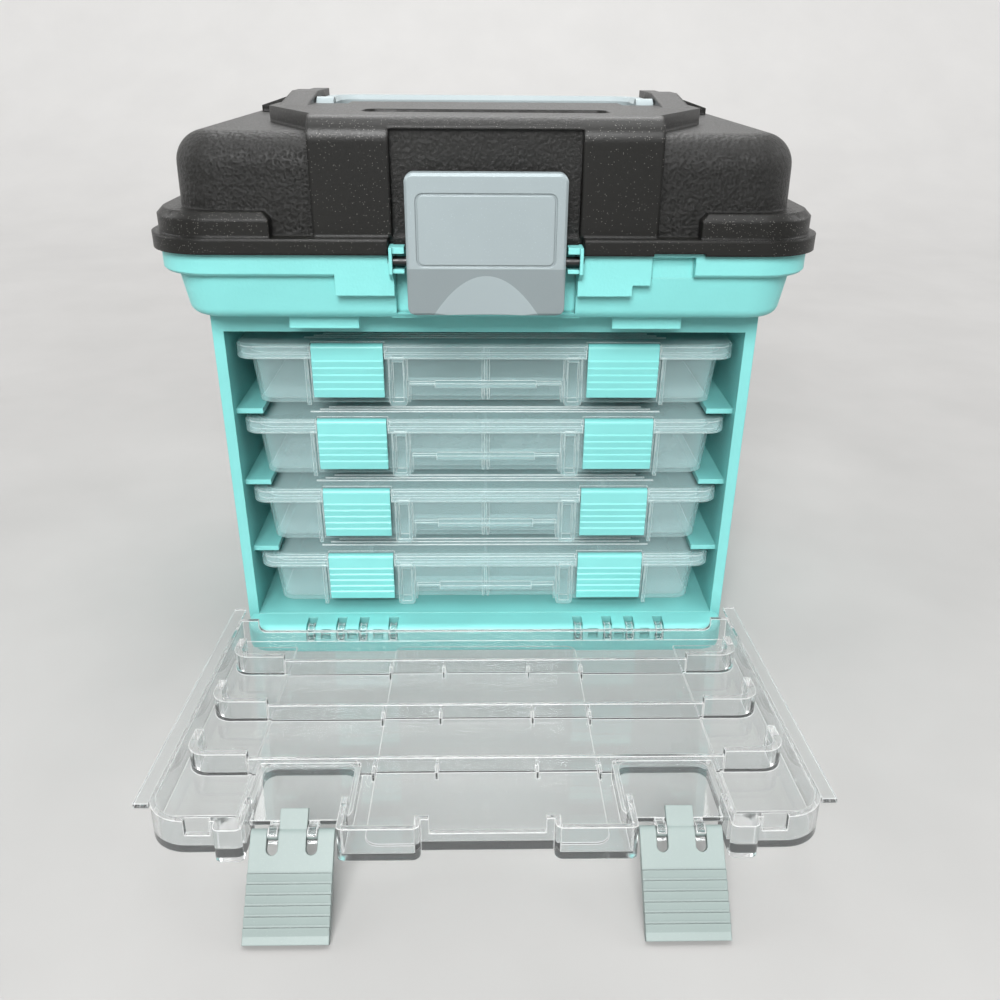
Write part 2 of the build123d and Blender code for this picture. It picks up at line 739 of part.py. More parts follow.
with BuildPart() as lid_hollow:
    w = lid_wall
    inside = footprint(
        -lid_body_half + w, lid_body_half - w, lid_body_front + w, lid_body_back - w, tub_top, 20 - w
    )
    extrude(inside, amount=lid_top - w - tub_top, taper=lid_draft)
    chamfer(lid_hollow.faces().sort_by(Axis.Z)[-1].edges(), lid_hollow_bevel)

with BuildPart() as top_lid:
    body = footprint(-lid_body_half, lid_body_half, lid_body_front, lid_body_back, tub_top, 20)
    extrude(body, amount=lid_top - tub_top, taper=lid_draft)
    fillet(top_lid.faces().sort_by(Axis.Z)[-1].edges(), lid_shoulder)
    add(lid_deck.part)
    add(corner_skirts.part)
    # centre section between the straps steps back
    centre = footprint(-strap_inner, strap_inner, lid_rim_front, lid_body_front + 0.5, tub_top)
    extrude(centre, amount=46, mode=Mode.SUBTRACT)
    # rim over the tub, with a skirt outside the band
    rim = footprint(-lid_rim_half, lid_rim_half, lid_rim_front, lid_rim_back, tub_top, lid_rim_corner)
    extrude(rim, amount=lid_rim_top - tub_top)
    skirt = footprint(
        -lid_rim_half, lid_rim_half, lid_rim_front, lid_rim_back, tub_top - lid_skirt_drop, lid_rim_corner
    )
    extrude(skirt, amount=lid_skirt_drop)
    skirt_half = band_half + 0.4
    skirt_front = band_front - 0.4
    skirt_low = tub_top - lid_skirt_drop
    skirt_in = footprint(-skirt_half, skirt_half, skirt_front, lid_rim_back + 1, skirt_low, band_corner)
    extrude(skirt_in, amount=lid_skirt_drop, mode=Mode.SUBTRACT)
    behind = footprint(-lid_rim_half, lid_rim_half, band_back - band_corner, lid_rim_back + 1, skirt_low)
    extrude(behind, amount=lid_skirt_drop, mode=Mode.SUBTRACT)
    hasp_skirt = footprint(hasp_left, hasp_right + 3, lid_rim_front - 1, skirt_front, skirt_low - 1)
    extrude(hasp_skirt, amount=lid_skirt_drop + 1, mode=Mode.SUBTRACT)
    add(lid_hollow.part, mode=Mode.SUBTRACT)
    # latch bay in the rim, and the ridge that the latch hooks
    notch_half_width = latch_bay_half + ear_width + latch_notch_gap
    notch = footprint(
        -notch_half_width, notch_half_width, lid_rim_front - 1, lid_body_front - 0.01, skirt_low - 1
    )
    extrude(notch, amount=lid_rim_top - tub_top + lid_skirt_drop + 1, mode=Mode.SUBTRACT)
    ridge = side_profile(
        [
            (lid_body_front + w, latch_high - 15), (latch_back_y + 1.6, latch_high - 10.5),
            (latch_back_y + 1.6, latch_high - 8.5), (lid_body_front + w, latch_high - 8.5),
        ],
        -lid_ridge_half_width,
    )
    extrude(ridge, amount=2 * lid_ridge_half_width)
    # dish for the handle, with a deeper finger scoop
    dish_span = (handle_pivot_y - dish_front, handle_pivot_y + dish_back)
    scoop_wall = footprint(
        -scoop_half - 4, scoop_half + 4, dish_span[0] + 18, dish_span[1] + 4, lid_top - scoop_depth - w, 12
    )
    extrude(scoop_wall, amount=scoop_depth + w - 1)
    dish = footprint(-ear_inner + 0.3, ear_inner - 0.3, *dish_span, lid_top - dish_drop, 5)
    extrude(dish, amount=20, mode=Mode.SUBTRACT)
    keep = footprint(
        -dish_keep_half, dish_keep_half, dish_span[0] - 1, handle_pivot_y + 8, lid_top - dish_drop
    )
    extrude(keep, amount=deck_top - lid_top + dish_drop)
    scoop = footprint(-scoop_half, scoop_half, dish_span[0] + 24, dish_span[1], lid_top - scoop_depth, 10)
    extrude(scoop, amount=20, mode=Mode.SUBTRACT)
    # long shallow tray in the deck's front
    groove = footprint(-groove_half, groove_half, *groove_y, deck_top - groove_depth, 5)
    extrude(groove, amount=5, mode=Mode.SUBTRACT)
    # ears that hold the handle's pegs, and the wedges that stand behind them
    for side in (-1, 1):
        with BuildSketch(Plane.XZ.offset(-wedge_y[0])):
            with BuildLine():
                Polyline(
                    (side * wedge_x[0], lid_top - 1), (side * wedge_x[0], wedge_z[0]),
                    (side * wedge_x[1], wedge_z[0]), (side * wedge_x[2], wedge_z[1]),
                    (side * wedge_x[2], lid_top - 1), close=True,
                )
            make_face()
        extrude(amount=wedge_y[0] - wedge_y[1])
        ear_x = min(side * ear_inner, side * ear_outer)
        with BuildSketch(Plane.YZ.offset(ear_x)) as ear_side:
            with BuildLine():
                Polyline(
                    (ear_ends[0], lid_top - 2), (ear_ends[0], deck_top - 0.5), (ear_crest[0], ear_top),
                    (ear_crest[1], ear_top), (ear_ends[1], deck_top - 1), (ear_ends[1], lid_top - 2), close=True,
                )
            make_face()
            fillet(ear_side.vertices().group_by(Axis.Y)[1:3], 6.0)
        extrude(amount=ear_outer - ear_inner)
        ear_bore = disc(min(side * (ear_inner - 1), side * (ear_outer - 3)), handle_pivot_y, handle_pivot_z,
                        handle_peg_r + pin_gap)
        extrude(ear_bore, amount=ear_outer - ear_inner - 2, mode=Mode.SUBTRACT)
    # hinge knuckles at the back
    for side in (-1, 1):
        knuckle_x = side * hinge_x - hinge_knuckle / 2
        arm = side_profile(
            [
                (lid_rim_back - 2, tub_top), (hinge_y, tub_top), (hinge_y, hinge_z + hinge_barrel),
                (lid_rim_back - 2, lid_rim_top),
            ],
            knuckle_x,
        )
        extrude(arm, amount=hinge_knuckle)
        extrude(disc(knuckle_x, hinge_y, hinge_z, hinge_barrel), amount=hinge_knuckle)
        knuckle_hole = disc(knuckle_x - 1, hinge_y, hinge_z, hinge_pin_r + pin_gap)
        extrude(knuckle_hole, amount=hinge_knuckle + 2, mode=Mode.SUBTRACT)
        # room for the tub's lugs in the rim
        for end in (-1, 1):
            lug_middle = side * hinge_x + end * (hinge_knuckle / 2 + side_gap + hinge_lug / 2)
            room = footprint(
                lug_middle - hinge_lug / 2 - side_gap, lug_middle + hinge_lug / 2 + side_gap,
                hinge_y - hinge_barrel - 0.6, hinge_y + hinge_barrel + 1, tub_top - 4,
            )
            extrude(room, amount=14, mode=Mode.SUBTRACT)

# Carry handle: a bail folded back on the lid, with pegs in the ears
arm_x = ear_inner - 0.6 - handle_bar / 2
with BuildPart() as carry_handle:
    with BuildSketch(Plane.XY.offset(handle_pivot_z - handle_bar / 2)):
        with BuildLine() as bail:
            FilletPolyline(
                (-arm_x, handle_pivot_y), (-arm_x, handle_pivot_y + handle_reach),
                (arm_x, handle_pivot_y + handle_reach), (arm_x, handle_pivot_y), radius=14,
            )
        trace(bail.line, handle_bar)
    extrude(amount=handle_bar)
    chamfer(carry_handle.faces().filter_by(Axis.Z).edges(), 2.0)
    for side in (-1, 1):
        eye_x = side * arm_x - handle_bar / 2
        extrude(disc(eye_x, handle_pivot_y, handle_pivot_z, handle_eye_r), amount=handle_bar)
        peg_x = min(side * (arm_x + handle_bar / 2 - 1), side * (ear_outer - 3.5))
        peg = disc(peg_x, handle_pivot_y, handle_pivot_z, handle_peg_r)
        extrude(peg, amount=ear_outer - 3.5 - arm_x - handle_bar / 2 + 1)

save("top_tub", top_tub.part)
save("lid_hinge_pins", lid_hinge_pins.part)
save("main_latch_pin", main_latch_pin.part)
save("main_latch", main_latch.part)
save("top_lid", top_lid.part)
save("carry_handle", carry_handle.part)

# Front door, lying open: the plane's X runs right, its Y back towards the hinge and its Z off the inner face
tilt = radians(90 - door_open)
door_plane = Plane(
    origin=(0, door_axis_y, door_axis_z), x_dir=(1, 0, 0), z_dir=(0, sin(tilt), cos(tilt))
)
door_floor = door_skin_h + door_skin


def door_area(x0, x1, s0, s1, h, radius=0.0):
    """A rectangle in the door's plane, between two distances from the hinge axis, at height h."""
    return footprint(x0, x1, -s1, -s0, h, radius, door_plane)


def both_sides(x0, x1):
    """The same span of x on the right and on the left."""
    return (x0, x1), (-x1, -x0)


with BuildPart() as front_door:
    # outline with bumps beside the latch notches
    with BuildSketch(door_plane.offset(door_skin_h)) as door_outline:
        with Locations((0, -(door_root_s + door_top_s) / 2)):
            Rectangle(2 * door_half, door_top_s - door_root_s)
        fillet(door_outline.vertices().group_by(Axis.Y)[0], door_corner)
        for x0, x1 in both_sides(*door_inner_bump) + both_sides(*door_outer_bump):
            with Locations(((x0 + x1) / 2, -(door_bump_s + 120) / 2)):
                RectangleRounded(x1 - x0, door_bump_s - 120, 3.0)
    extrude(amount=door_rim_h - door_skin_h)
    with BuildSketch(door_plane.offset(door_floor)) as door_inside:
        with Locations((0, -(door_root_s + door_top_s) / 2)):
            Rectangle(2 * (door_half - door_wall), door_top_s - door_root_s - 2 * door_wall)
        fillet(door_inside.vertices().group_by(Axis.Y)[0], door_corner - door_wall)
        for x0, x1 in both_sides(door_inner_bump[0] + door_wall, door_inner_bump[1] - door_wall):
            with Locations(((x0 + x1) / 2, -(door_bump_s - door_wall + 130) / 2)):
                Rectangle(x1 - x0, door_bump_s - door_wall - 130)
    extrude(amount=20, mode=Mode.SUBTRACT)
    # flanges outside the side walls, level with the rim
    for x0, x1 in both_sides(door_half - door_flange_bite, door_flange_half):
        flange = door_area(x0, x1, *door_flange_s, door_rim_h - door_flange_thick)
        extrude(flange, amount=door_flange_thick)
    # front wall drops in the middle and towards the corners
    for x0, x1 in ((-door_inner_bump[0] + 3, door_inner_bump[0] - 3),) + both_sides(
        door_outer_bump[1] + 2, door_half - door_corner
    ):
        low = door_area(x0, x1, door_top_s - door_wall - 0.5, door_top_s + 1, door_front_low_h)
        extrude(low, amount=20, mode=Mode.SUBTRACT)
    # hinge-end wall drops so that the lowest box slides out over it
    dip_half = tray_half + 1.5
    with BuildSketch(Plane(origin=door_plane.from_local_coords((0, -door_root_s + 1, 0)), x_dir=(1, 0, 0),
                           z_dir=-door_plane.y_dir)) as dip:
        with Locations((0, (door_low_h + door_rim_h + 4) / 2)):
            Rectangle(2 * dip_half + 7, door_rim_h + 4 - door_low_h)
        fillet(dip.vertices().group_by(Axis.Y)[0], 3.5)
    extrude(amount=door_wall + 1.5, mode=Mode.SUBTRACT)
    # stepped skin: a centre panel and two side strips stand proud inside
    panel = door_area(-door_panel_half, door_panel_half, 14, door_top_s - 1, door_floor - 0.5, 5)
    extrude(panel, amount=door_panel_step + 0.5)
    for x0, x1 in both_sides(door_strip_x, door_half - 1):
        strip = door_area(x0, x1, 14, door_top_s - door_corner, door_floor - 0.5)
        extrude(strip, amount=door_panel_step + 0.5)
    # cross ribs at the gaps between the boxes, with corner hooks and small gussets
    for level in range(1, box_count):
        rib_s = base_top + level * slot_pitch - door_rib_drop - door_axis_z
        rib = door_area(-95, 95, rib_s - door_rib_thick / 2, rib_s + door_rib_thick / 2, door_floor - 0.5)
        extrude(rib, amount=door_rib_height + 0.5)
        for side in (-1, 1):
            with BuildSketch(door_plane.offset(door_floor - 0.5)):
                with BuildLine() as hook_line:
                    FilletPolyline(
                        (side * 95, -rib_s), (side * (door_half - 6), -rib_s),
                        (side * (door_half - 6), -rib_s + 16), radius=7,
                    )
                trace(hook_line.line, 3.4)
            extrude(amount=door_rim_h - door_floor - 0.5)
            for x in door_gusset_x:
                gusset = door_area(side * x - 0.6, side * x + 0.6, rib_s - 5, rib_s + 5, door_floor - 0.5)
                extrude(gusset, amount=door_rib_height * 0.6)
    # latch recesses, the notches at their ends and the hooks that carry the latches
    for side in (-1, 1):
        x = side * door_latch_x
        block_x = (x - recess_half - door_wall, x + recess_half + door_wall)
        block = door_area(*block_x, recess_start - door_wall, notch_start, door_skin_h, 6)
        extrude(block, amount=recess_floor_h + door_skin - door_skin_h)
        wall_x = (x - notch_half - door_wall, x + notch_half + door_wall)
        sides = door_area(*wall_x, notch_start - 6, door_bump_s - 3, door_skin_h)
        extrude(sides, amount=door_rim_h - door_skin_h)
        pocket = door_area(x - recess_half, x + recess_half, recess_start, notch_start - 4, door_skin_h - 1, 5)
        extrude(pocket, amount=recess_floor_h - door_skin_h + 1, mode=Mode.SUBTRACT)
        mouth = door_area(x - notch_half, x + notch_half, notch_start - 12, notch_start + 1, door_skin_h - 1)
        extrude(mouth, amount=recess_floor_h - door_skin_h + 1, mode=Mode.SUBTRACT)
        above = door_area(x - notch_half, x + notch_half, notch_start - 7, notch_start + 1, recess_floor_h + door_skin)
        extrude(above, amount=12, mode=Mode.SUBTRACT)
        notch = door_area(x - notch_half, x + notch_half, notch_start, door_bump_s + 2, door_skin_h - 1)
        extrude(notch, amount=20, mode=Mode.SUBTRACT)
        for slot_side in (-1, 1):
            hook_x = x + slot_side * door_latch_slot_x - 1.7
            arm = door_area(hook_x, hook_x + 3.4, notch_start - 1, door_latch_s, recess_floor_h - 1.5)
            extrude(arm, amount=door_skin + 1.3)
            with BuildSketch(Plane(origin=door_plane.from_local_coords((hook_x, -door_latch_s, door_latch_h)),
                                   x_dir=door_plane.y_dir, z_dir=(1, 0, 0))):
                Circle(door_latch_bar + 1.5)
            extrude(amount=3.4)
            with BuildSketch(Plane(origin=door_plane.from_local_coords((hook_x - 1, -door_latch_s, door_latch_h)),
                                   x_dir=door_plane.y_dir, z_dir=(1, 0, 0))):
                Circle(door_latch_bar + pin_gap)
                with Locations((-2.2, 0)):
                    Rectangle(4.4, door_latch_bar * 1.6)
            extrude(amount=5.4, mode=Mode.SUBTRACT)
    # knuckles that clip on the lip's pins
    for group in (-knuckle_group_x, knuckle_group_x):
        for offset in knuckle_offsets:
            x = group + offset - knuckle_width / 2
            arm = door_area(x, x + knuckle_width, 0, door_root_s + 1, -2.8)
            extrude(arm, amount=4.6)
            with BuildSketch(Plane(origin=(x, door_axis_y, door_axis_z), x_dir=door_plane.y_dir, z_dir=(1, 0, 0))):
                Circle(knuckle_r)
            extrude(amount=knuckle_width)
            with BuildSketch(Plane(origin=(x - 1, door_axis_y, door_axis_z), x_dir=door_plane.y_dir, z_dir=(1, 0, 0))):
                Circle(door_pin_r + pin_gap)
                with Locations((2.6, 0)):
                    Rectangle(5.2, door_pin_r * 1.6)
            extrude(amount=knuckle_width + 2, mode=Mode.SUBTRACT)

save("front_door", front_door.part)

# Door latches, resting with their toes on the table
pivot = door_plane.from_local_coords((0, -door_latch_s, door_latch_h))
toe_reach = hypot(door_latch_length, door_latch_inner)
slope = asin((pivot.Z - 0.05) / toe_reach) - atan2(door_latch_inner, door_latch_length)
for side, name in ((-1, "door_latch_left"), (1, "door_latch_right")):
    latch_plane = Plane(
        origin=(side * door_latch_x, pivot.Y, pivot.Z), x_dir=(1, 0, 0), z_dir=(0, -sin(slope), cos(slope))
    )
    half = door_latch_width / 2
    thickness = door_latch_outer + door_latch_inner
    with BuildPart() as door_latch:
        with BuildSketch(latch_plane.offset(-door_latch_inner)):
            with Locations((0, -door_latch_length / 2)):
                Rectangle(door_latch_width, door_latch_length)
        extrude(amount=thickness)
        with BuildSketch(Plane(origin=latch_plane.from_local_coords((-half, 0, 0)),
                               x_dir=latch_plane.y_dir, z_dir=(1, 0, 0))):
            Circle(door_latch_outer)
        extrude(amount=door_latch_width)
        # hook tab, stepped below the plate's face
        with BuildSketch(latch_plane.offset(-tab_inner)):
            with Locations((0, tab_length / 2)):
                Rectangle(tab_width, tab_length)
        extrude(amount=tab_inner + tab_outer)
        # stepped finger ridges
        with BuildSketch(Plane(origin=latch_plane.from_local_coords((-half, 0, 0)),
                               x_dir=latch_plane.y_dir, z_dir=(1, 0, 0))):
            for ridge in range(6):
                t = 13.0 + 3.5 * ridge
                with BuildLine():
                    Polyline(
                        (-t, door_latch_outer - 0.1), (-t, door_latch_outer + 0.9),
                        (-t - 3.0, door_latch_outer - 0.1), close=True,
                    )
                make_face()
        extrude(amount=door_latch_width)
        # U slots for the door's hooks, crossed by the bar that they grip
        with BuildSketch(latch_plane.offset(-5)):
            for slot_side in (-1, 1):
                with Locations((slot_side * door_latch_slot_x, 0)):
                    SlotOverall(14.0, door_latch_slot, rotation=90)
        extrude(amount=10, mode=Mode.SUBTRACT)
        with BuildSketch(Plane(origin=latch_plane.from_local_coords((-half, 0, 0)),
                               x_dir=latch_plane.y_dir, z_dir=(1, 0, 0))):
            Circle(door_latch_bar)
        extrude(amount=door_latch_width)
    save(name, door_latch.part)
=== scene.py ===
"""Looks for the craft storage rack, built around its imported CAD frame. Metres, in the row frame."""

from math import cos, pi, radians, sin

import bpy
from mathutils import Matrix, Vector

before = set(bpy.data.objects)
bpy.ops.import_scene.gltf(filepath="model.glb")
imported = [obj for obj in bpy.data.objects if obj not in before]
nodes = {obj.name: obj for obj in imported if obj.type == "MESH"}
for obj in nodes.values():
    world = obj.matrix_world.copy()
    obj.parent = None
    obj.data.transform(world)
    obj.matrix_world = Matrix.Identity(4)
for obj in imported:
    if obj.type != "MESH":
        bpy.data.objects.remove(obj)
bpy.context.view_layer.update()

MM = 0.001
BOXES = range(1, 5)

# Colours, as linear values. DIM_FLOOR is what the floor gives back to the object; BACKDROP is how it looks
# far from the object.
TEAL = (0.235, 0.675, 0.655)
BLACK = (0.005, 0.005, 0.004)
FLECK = (0.240, 0.230, 0.215)
SILVER = (0.335, 0.395, 0.410)
GREY = (0.270, 0.328, 0.316)
STEEL = (0.050, 0.050, 0.050)
MILK = (0.660, 0.930, 0.940)
# Painted highlight: the frosted plastic's edges get this paler milk.
MILK_EDGE_HIGHLIGHT = (0.900, 0.990, 0.990)
CLEAR_FACE = (0.840, 0.860, 0.860)
# Painted highlight: the clear plastic's edges are white.
CLEAR_EDGE_HIGHLIGHT = (1.0, 1.0, 1.0)
FLOOR = (0.405, 0.400, 0.393)
DIM_FLOOR = (0.240, 0.238, 0.235)
BACKDROP = (0.520, 0.515, 0.508)

# How much of the light that passes through on its way elsewhere the clear and the frosted plastic stop
CLEAR_STOPS = 0.12
FROSTED_STOPS = 0.3

# Frosted plastic: how dense a face is seen straight on and seen edge on, how dense its edges are, and the
# layers that a line of sight passes before it ends on one
FACE_DENSITY = (0.14, 0.50)
EDGE_DENSITY = 0.80
LAST_LAYER = 5.5

# Main latch, in mm: its foot, where its lower face bends back, and its thumb hollow's top, with how the
# square of the hollow's half-width grows below that. From the foot up to the bend the silver is painted
# darker as shade, and inside the thumb hollow it is painted paler as a reflection.
LATCH_FOOT = 170.0
LATCH_BEND = 200.5
THUMB_TOP = 197.8
THUMB_SPREAD = 28.1

# Lid, in mm: where the leather grain lies on its body's sides and, fainter, between the straps
BODY_SIDES = (70.0, 127.4)
BODY_DEPTH = (-86.6, 85.6)
BODY_HEIGHT = (211.5, 250.4)
BETWEEN_STRAPS = (0.0, 37.8)
FAINT_GRAIN = 0.45

# Lamps: name, place, side of the square and power. They all face MIDDLE.
MIDDLE = (0.0, 0.0, 0.12)
LAMPS = (
    ("front", (-0.15, -1.36, 1.06), 0.65, 30.5),
    ("above", (0.05, -0.15, 1.50), 0.9, 9.0),
    ("behind", (0.0, 1.10, 1.45), 1.1, 13.0),
    ("left", (-1.45, 0.20, 0.95), 0.9, 7.5),
    ("right", (1.45, 0.20, 0.95), 0.9, 7.5),
)

# The dome: how strongly it lights the object, and how bright it looks
DOME_LIGHT = 0.18
DOME_SEEN = 0.62

# Camera: its place, its three turns in degrees and its focal length on the sensor's width in mm
CAMERA_PLACE = (-0.0020, -0.4700, 0.2809)
CAMERA_PITCH = 26.22
CAMERA_YAW = 1.27
CAMERA_ROLL = 0.48
CAMERA_LENS = 33.21
SENSOR = 36.0


def node(tree, kind, **values):
    """A shader node with some of its inputs or settings filled in."""
    made = tree.nodes.new(kind)
    for name, value in values.items():
        socket = made.inputs.get(name.replace("_", " "))
        if socket is None:
            setattr(made, name, value)
        else:
            socket.default_value = value
    return made


def blank(name):
    """A new material with one Principled shader: (material, tree, shader)."""
    material = bpy.data.materials.new(name)
    material.use_nodes = True
    tree = material.node_tree
    tree.nodes.clear()
    shader = node(tree, "ShaderNodeBsdfPrincipled")
    output = node(tree, "ShaderNodeOutputMaterial")
    tree.links.new(shader.outputs[0], output.inputs[0])
    return material, tree, shader


def noise(tree, place, scale, detail=3.0, roughness=0.55):
    """A noise texture in the object's own space; scale is in lumps per metre."""
    made = node(tree, "ShaderNodeTexNoise", Scale=scale, Detail=detail, Roughness=roughness)
    tree.links.new(place, made.inputs["Vector"])
    return made.outputs[0]


def ramp(tree, source, low, high, low_colour, high_colour):
    """Colours between two, as the source goes from low to high."""
    made = node(tree, "ShaderNodeValToRGB")
    first, last = made.color_ramp.elements
    first.position, last.position = low, high
    first.color, last.color = (*low_colour, 1), (*high_colour, 1)
    tree.links.new(source, made.inputs[0])
    return made.outputs[0]


def shade(colour, factor):
    """The same colour, lighter or darker."""
    return tuple(min(1.0, part * factor) for part in colour)


def spread_of(tree, source, low, high, start=0.3, end=0.7):
    """The source's range from start to end stretched to run from low to high."""
    made = node(tree, "ShaderNodeMapRange")
    for socket, value in zip(list(made.inputs)[1:5], (start, end, low, high)):
        socket.default_value = value
    tree.links.new(source, made.inputs[0])
    return made.outputs[0]


def rounded_normal(tree, radius):
    """The surface's normal with its edges rounded over radius mm."""
    return node(tree, "ShaderNodeBevel", Radius=radius * MM, samples=6).outputs[0]


def edge_mask(tree, rounded, start=0.995, end=0.88):
    """1 along the edges, where the rounded normal leaves the flat one, and 0 on the faces."""
    flat = node(tree, "ShaderNodeNewGeometry").outputs["True Normal"]
    match = node(tree, "ShaderNodeVectorMath", operation="DOT_PRODUCT")
    tree.links.new(rounded, match.inputs[0])
    tree.links.new(flat, match.inputs[1])
    return spread_of(tree, match.outputs["Value"], 0.0, 1.0, start, end)


def mixed(tree, factor, first, second):
    """Two colours mixed; each is a socket or a plain colour."""
    mix = node(tree, "ShaderNodeMix", data_type="RGBA")
    tree.links.new(factor, mix.inputs[0])
    for socket, colour in ((mix.inputs[6], first), (mix.inputs[7], second)):
        if isinstance(colour, tuple):
            socket.default_value = (*colour, 1)
        else:
            tree.links.new(colour, socket)
    return mix.outputs[2]


def within(tree, place, axis, low, high):
    """1 where the coordinate along the axis lies from low to high mm, else 0; "x" takes both sides alike."""
    split = node(tree, "ShaderNodeSeparateXYZ")
    tree.links.new(place, split.inputs[0])
    value = split.outputs["XYZ".index(axis.upper())]
    if axis == "x":
        size = node(tree, "ShaderNodeMath", operation="ABSOLUTE")
        tree.links.new(value, size.inputs[0])
        value = size.outputs[0]
    middle, half = (low + high) / 2 * MM, (high - low) / 2 * MM
    inside = node(tree, "ShaderNodeMath", operation="COMPARE")
    tree.links.new(value, inside.inputs[0])
    inside.inputs[1].default_value = middle
    inside.inputs[2].default_value = half
    return inside.outputs[0]


def larger(tree, first, second):
    """The larger of two values."""
    most = node(tree, "ShaderNodeMath", operation="MAXIMUM")
    tree.links.new(first, most.inputs[0])
    tree.links.new(second, most.inputs[1])
    return most.outputs[0]


def product(tree, *factors):
    """The factors multiplied together."""
    result = factors[0]
    for factor in factors[1:]:
        times = node(tree, "ShaderNodeMath", operation="MULTIPLY")
        tree.links.new(result, times.inputs[0])
        if isinstance(factor, float):
            times.inputs[1].default_value = factor
        else:
            tree.links.new(factor, times.inputs[1])
        result = times.outputs[0]
    return result


def taken_apart(material):
    """A moulded material's tree, shader, base colour socket and place socket, to build on."""
    tree = material.node_tree
    shader = next(n for n in tree.nodes if n.type == "BSDF_PRINCIPLED")
    place = next(n for n in tree.nodes if n.type == "TEX_COORD").outputs["Object"]
    return tree, shader, shader.inputs["Base Color"].links[0].from_socket, place


def moulded(name, colour, roughness, grain=900.0, depth=0.03, edge=0.5, reach=1.6, floor_share=0.35):
    """Moulded plastic: faint mottling, a grain depth mm deep, edges that catch the light over edge mm, and
    painted shade in grooves and under steps narrower than reach mm.
    """
    material, tree, shader = blank(name)
    place = node(tree, "ShaderNodeTexCoord").outputs["Object"]
    broad = noise(tree, place, 22.0)
    tint = ramp(tree, broad, 0.3, 0.7, shade(colour, 0.96), shade(colour, 1.04))
    # Painted shade: the colour darkens in grooves and under steps.
    tree.links.new(painted_crevice_shade(tree, tint, reach, floor_share), shader.inputs["Base Color"])
    fine = noise(tree, place, grain, 4.0)
    tree.links.new(spread_of(tree, fine, roughness - 0.05, roughness + 0.06), shader.inputs["Roughness"])
    bump = node(tree, "ShaderNodeBump", Strength=1.0, Distance=depth * MM)
    tree.links.new(fine, bump.inputs["Height"])
    tree.links.new(rounded_normal(tree, edge), bump.inputs["Normal"])
    tree.links.new(bump.outputs[0], shader.inputs["Normal"])
    return material


def painted_crevice_shade(tree, colour, reach, floor_share):
    """The colour with painted shade: down to floor_share of it in grooves and under steps narrower than reach
    mm.
    """
    open_share = node(tree, "ShaderNodeAmbientOcclusion", samples=8, Distance=reach * MM).outputs["AO"]
    shadow = node(tree, "ShaderNodeMix", data_type="RGBA", blend_type="MULTIPLY")
    shadow.inputs[0].default_value = 1.0
    tree.links.new(colour, shadow.inputs[6])
    tree.links.new(ramp(tree, open_share, 0.35, 0.85, (floor_share,) * 3, (1, 1, 1)), shadow.inputs[7])
    return shadow.outputs[2]


def flecks(tree, place, scale, share):
    """1 in small scattered specks, else 0."""
    specks = node(tree, "ShaderNodeTexVoronoi", Scale=scale, feature="F1")
    tree.links.new(place, specks.inputs["Vector"])
    near = ramp(tree, specks.outputs["Distance"], share, share + 0.06, (1, 1, 1), (0, 0, 0))
    few = ramp(tree, specks.outputs["Color"], 0.5, 0.52, (0, 0, 0), (1, 1, 1))
    return product(tree, near, few)


def flecked(name, colour, roughness, fleck, share, floor_share=0.35, metallic=0.0):
    """Moulded plastic with fine bright flecks, of the colour fleck, scattered through it."""
    material = moulded(name, colour, roughness, 1500.0, 0.02, floor_share=floor_share)
    tree, shader, base, place = taken_apart(material)
    spotted = mixed(tree, flecks(tree, place, 1700.0, share), base, fleck)
    tree.links.new(spotted, shader.inputs["Base Color"])
    shader.inputs["Metallic"].default_value = metallic
    return material


def latch_plastic():
    """Silver plastic whose thumb hollow, an arch at the plate's foot, is painted paler as a reflection, and
    whose lower face is painted darker as shade.
    """
    material = flecked("silver_latch", SILVER, 0.40, shade(SILVER, 1.5), 0.14, 0.75, 0.2)
    tree, shader, base, place = taken_apart(material)
    # Painted reflection: the thumb hollow's arch, where the silver is paler.
    split = node(tree, "ShaderNodeSeparateXYZ")
    tree.links.new(place, split.inputs[0])
    across = product(tree, split.outputs[0], split.outputs[0])
    reach = node(tree, "ShaderNodeMath", operation="MULTIPLY_ADD")
    tree.links.new(split.outputs[2], reach.inputs[0])
    reach.inputs[1].default_value = THUMB_SPREAD * MM
    tree.links.new(across, reach.inputs[2])
    inside = node(tree, "ShaderNodeMath", operation="LESS_THAN")
    tree.links.new(reach.outputs[0], inside.inputs[0])
    inside.inputs[1].default_value = THUMB_SPREAD * MM * THUMB_TOP * MM
    # Painted shade: the lower face, from the foot up to the bend, is darker.
    foot = within(tree, place, "Z", LATCH_FOOT, LATCH_BEND)
    lower = mixed(tree, foot, base, shade(SILVER, 0.74))
    tree.links.new(mixed(tree, inside.outputs[0], lower, shade(SILVER, 1.15)), shader.inputs["Base Color"])
    return material


